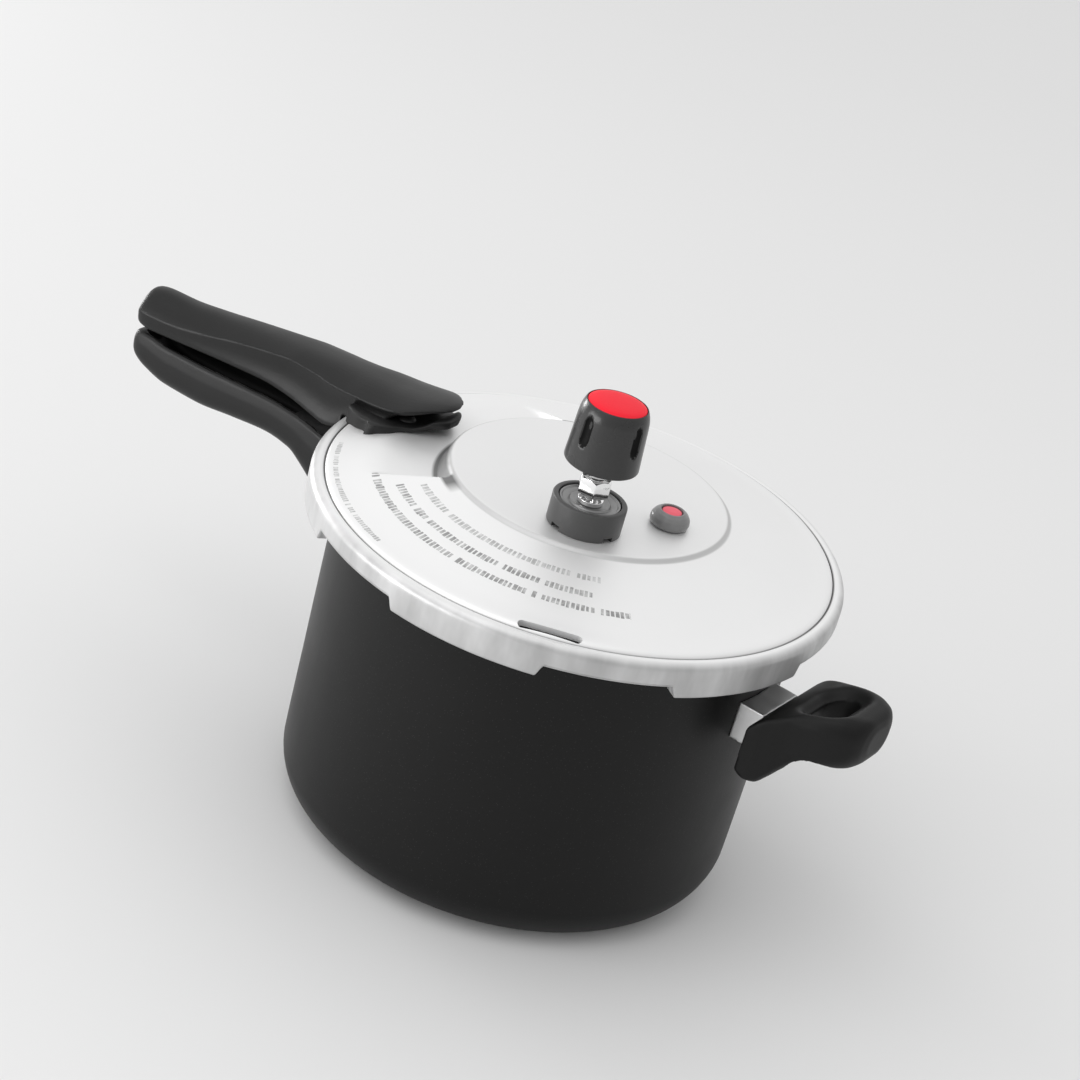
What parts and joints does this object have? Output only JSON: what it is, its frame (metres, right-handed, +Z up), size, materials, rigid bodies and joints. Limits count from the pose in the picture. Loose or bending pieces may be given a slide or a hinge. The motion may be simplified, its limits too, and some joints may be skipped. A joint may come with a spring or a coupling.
{
  "type": "pressure cooker",
  "caption": "Stovetop pressure cooker: black coated aluminium pot, twist-lock polished outside lid, long paired handles, side helper handle, loose weight valve and safety valve.",
  "frame": {"origin": "centre of the underside of the pot, on the surface it stands on", "axes": "+Z up along the pot's axis; the two long handles point along -X and the helper handle close to +X"},
  "size_m": [0.3962, 0.233, 0.225],
  "materials": {
    "black_nonstick": "matte black non-stick coating outside, bare satin aluminium inside",
    "black_phenolic": "moulded black phenolic, semi-gloss",
    "polished_aluminium": "polished",
    "bracket_aluminium": "satin pressed sheet",
    "black_bracket": "black painted",
    "aluminium_rivet": "satin",
    "zinc_steel": "zinc plated",
    "chrome_stem": "chrome plated",
    "collar_grey": "dark grey, satin",
    "plate_steel": "turned steel",
    "seal_rubber": "matte",
    "valve_rubber": "matte silicone",
    "red_pin": "gloss red",
    "weight_black": "moulded black phenolic, semi-gloss",
    "weight_metal": "turned steel",
    "red_cap": "gloss red"
  },
  "bodies": {
    "pot": {"pot_body": "black_nonstick", "pot_handle_rivets": "aluminium_rivet", "helper_rivets": "aluminium_rivet", "pot_handle_bracket": "bracket_aluminium", "pot_handle_screw": "zinc_steel", "pot_handle": "black_phenolic", "helper_bracket": "bracket_aluminium", "helper_screw": "zinc_steel", "helper_handle": "black_phenolic"},
    "gasket": {"gasket": "seal_rubber"},
    "lid": {"lid_shell": "polished_aluminium", "lid_handle_foot": "black_bracket", "lid_handle_rivets": "aluminium_rivet", "lid_handle_screw": "zinc_steel", "lid_handle": "black_phenolic", "vent_stem": "chrome_stem", "vent_nut": "zinc_steel", "vent_washer": "seal_rubber", "valve_collar": "collar_grey", "collar_plate": "plate_steel", "safety_valve": "valve_rubber"},
    "weight": {"weight_cover": "weight_black", "weight_core": "weight_metal", "weight_cap": "red_cap"},
    "safety_pin": {"safety_pin": "red_pin"}
  },
  "joints": [
    {"name": "lid_lift", "type": "slide", "parent": "pot", "child": "gasket", "axis": [0, 0, 1], "range_m": [0, 0.08]},
    {"name": "lid_turn", "type": "hinge", "parent": "gasket", "child": "lid", "pos_m": [0, 0, 0.15], "axis": [0, 0, 1], "range_deg": [0, 30]},
    {"name": "weight_lift", "type": "slide", "parent": "lid", "child": "weight", "axis": [0, 0, 1], "range_m": [0, 0.04]},
    {"name": "safety_pin_rise", "type": "slide", "parent": "lid", "child": "safety_pin", "axis": [0, 0, 1], "range_m": [0, 0.004]}
  ]
}
